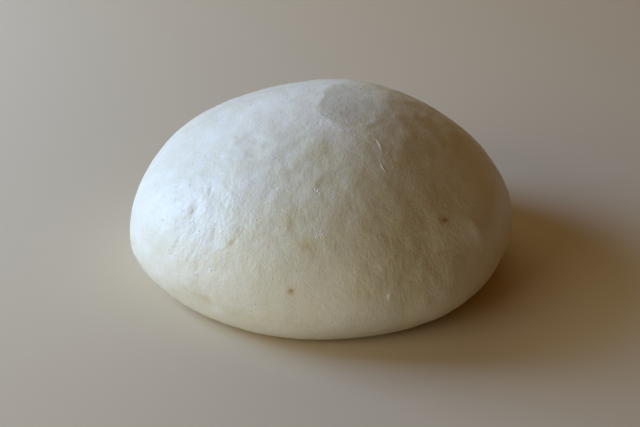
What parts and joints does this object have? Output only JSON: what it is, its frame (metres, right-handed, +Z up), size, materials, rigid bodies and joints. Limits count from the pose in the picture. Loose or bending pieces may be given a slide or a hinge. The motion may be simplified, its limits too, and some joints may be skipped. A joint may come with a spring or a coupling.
{
  "type": "ball of bread dough",
  "caption": "Raw kneaded bread dough rounded into a ball: a smooth, taut, low dome settled on a flat foot, ready to prove, shape or bake.",
  "frame": {"origin": "on the plane that the dough rests on, under the middle of the ball's outline from above", "axes": "+Z up; -Y towards the viewer of the picture, the ball's front; +X to that viewer's right"},
  "size_m": [0.1506, 0.149, 0.0681],
  "materials": {
    "dough": "raw wheat dough: creamy off-white, soft and slightly moist, with a faint satin sheen on the drawn skin"
  },
  "bodies": {
    "root": {"dough_ball": "dough"}
  },
  "joints": []
}
